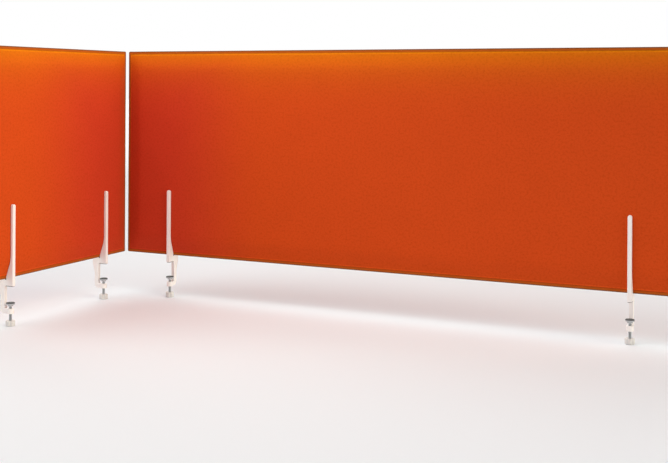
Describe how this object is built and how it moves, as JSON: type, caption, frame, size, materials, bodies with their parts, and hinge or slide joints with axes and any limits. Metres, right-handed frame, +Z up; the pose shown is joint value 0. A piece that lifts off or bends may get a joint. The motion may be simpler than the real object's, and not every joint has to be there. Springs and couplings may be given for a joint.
{
  "type": "desk privacy panel",
  "caption": "Two fabric-covered desk privacy panels at a corner, each held upright in fork clamps that grip the desk top's edge.",
  "frame": {"origin": "the desk top's back left corner on its upper face, where the two panels' middle planes meet", "axes": "+X along the rear panel to the right, -Y along the side panel towards the user, +Z up"},
  "size_m": [1.632, 0.647, 0.709],
  "materials": {
    "cover_fabric": "woven wool, matt, red orange",
    "edge_trim": "dark brown woven edging over a stiff strip",
    "acoustic_felt": "moulded polyester felt",
    "core_board": "plain fibreboard",
    "fork_paint": "white powder coat, satin",
    "liner_felt": "grey self-adhesive felt",
    "pad_rubber": "soft matt rubber",
    "clamp_steel": "zinc plated",
    "knob_plastic": "moulded, white grey"
  },
  "bodies": {
    "desk_clamps": {"rear_left_fork": "fork_paint", "rear_left_front_liner": "liner_felt", "rear_left_back_liner": "liner_felt", "rear_left_seat_pad": "pad_rubber", "rear_left_jaw_pad": "pad_rubber", "rear_right_fork": "fork_paint", "rear_right_front_liner": "liner_felt", "rear_right_back_liner": "liner_felt", "rear_right_seat_pad": "pad_rubber", "rear_right_jaw_pad": "pad_rubber", "side_far_fork": "fork_paint", "side_far_front_liner": "liner_felt", "side_far_back_liner": "liner_felt", "side_far_seat_pad": "pad_rubber", "side_far_jaw_pad": "pad_rubber", "side_near_fork": "fork_paint", "side_near_front_liner": "liner_felt", "side_near_back_liner": "liner_felt", "side_near_seat_pad": "pad_rubber", "side_near_jaw_pad": "pad_rubber"},
    "rear_panel": {"rear_panel_core_board": "core_board", "rear_panel_edge_strip": "edge_trim", "rear_panel_front_pad": "acoustic_felt", "rear_panel_back_pad": "acoustic_felt", "rear_panel_front_cover": "cover_fabric", "rear_panel_back_cover": "cover_fabric"},
    "side_panel": {"side_panel_core_board": "core_board", "side_panel_edge_strip": "edge_trim", "side_panel_front_pad": "acoustic_felt", "side_panel_back_pad": "acoustic_felt", "side_panel_front_cover": "cover_fabric", "side_panel_back_cover": "cover_fabric"},
    "rear_left_disc": {"rear_left_pressure_disc": "clamp_steel", "rear_left_disc_pad": "pad_rubber"},
    "rear_left_screw": {"rear_left_clamp_screw": "clamp_steel", "rear_left_screw_knob": "knob_plastic"},
    "rear_right_disc": {"rear_right_pressure_disc": "clamp_steel", "rear_right_disc_pad": "pad_rubber"},
    "rear_right_screw": {"rear_right_clamp_screw": "clamp_steel", "rear_right_screw_knob": "knob_plastic"},
    "side_far_disc": {"side_far_pressure_disc": "clamp_steel", "side_far_disc_pad": "pad_rubber"},
    "side_far_screw": {"side_far_clamp_screw": "clamp_steel", "side_far_screw_knob": "knob_plastic"},
    "side_near_disc": {"side_near_pressure_disc": "clamp_steel", "side_near_disc_pad": "pad_rubber"},
    "side_near_screw": {"side_near_clamp_screw": "clamp_steel", "side_near_screw_knob": "knob_plastic"}
  },
  "joints": [
    {"name": "rear_panel_lift", "type": "slide", "parent": "desk_clamps", "child": "rear_panel", "axis": [0, 0, 1], "range_m": [0, 0.2]},
    {"name": "side_panel_lift", "type": "slide", "parent": "desk_clamps", "child": "side_panel", "axis": [0, 0, 1], "range_m": [0, 0.2]},
    {"name": "rear_left_disc_travel", "type": "slide", "parent": "desk_clamps", "child": "rear_left_disc", "axis": [0, 0, 1], "range_m": [-0.005, 0.016]},
    {"name": "rear_left_screw_turn", "type": "hinge", "parent": "rear_left_disc", "child": "rear_left_screw", "pos_m": [0.1635, -0.012, -0.06], "axis": [0, 0, 1], "range_deg": [-1441, 4609]},
    {"name": "rear_right_disc_travel", "type": "slide", "parent": "desk_clamps", "child": "rear_right_disc", "axis": [0, 0, 1], "range_m": [-0.005, 0.016]},
    {"name": "rear_right_screw_turn", "type": "hinge", "parent": "rear_right_disc", "child": "rear_right_screw", "pos_m": [1.4635, -0.012, -0.06], "axis": [0, 0, 1], "range_deg": [-1441, 4609]},
    {"name": "side_far_disc_travel", "type": "slide", "parent": "desk_clamps", "child": "side_far_disc", "axis": [0, 0, 1], "range_m": [-0.005, 0.016]},
    {"name": "side_far_screw_turn", "type": "hinge", "parent": "side_far_disc", "child": "side_far_screw", "pos_m": [0.012, -0.1215, -0.06], "axis": [0, 0, 1], "range_deg": [-1441, 4609]},
    {"name": "side_near_disc_travel", "type": "slide", "parent": "desk_clamps", "child": "side_near_disc", "axis": [0, 0, 1], "range_m": [-0.005, 0.016]},
    {"name": "side_near_screw_turn", "type": "hinge", "parent": "side_near_disc", "child": "side_near_screw", "pos_m": [0.012, -0.5075, -0.06], "axis": [0, 0, 1], "range_deg": [-1441, 4609]}
  ],
  "couplings": [
    {"joint": "rear_left_screw_turn", "follows": "rear_left_disc_travel", "rad_per_m": 5026.5},
    {"joint": "rear_right_screw_turn", "follows": "rear_right_disc_travel", "rad_per_m": 5026.5},
    {"joint": "side_far_screw_turn", "follows": "side_far_disc_travel", "rad_per_m": 5026.5},
    {"joint": "side_near_screw_turn", "follows": "side_near_disc_travel", "rad_per_m": 5026.5}
  ]
}
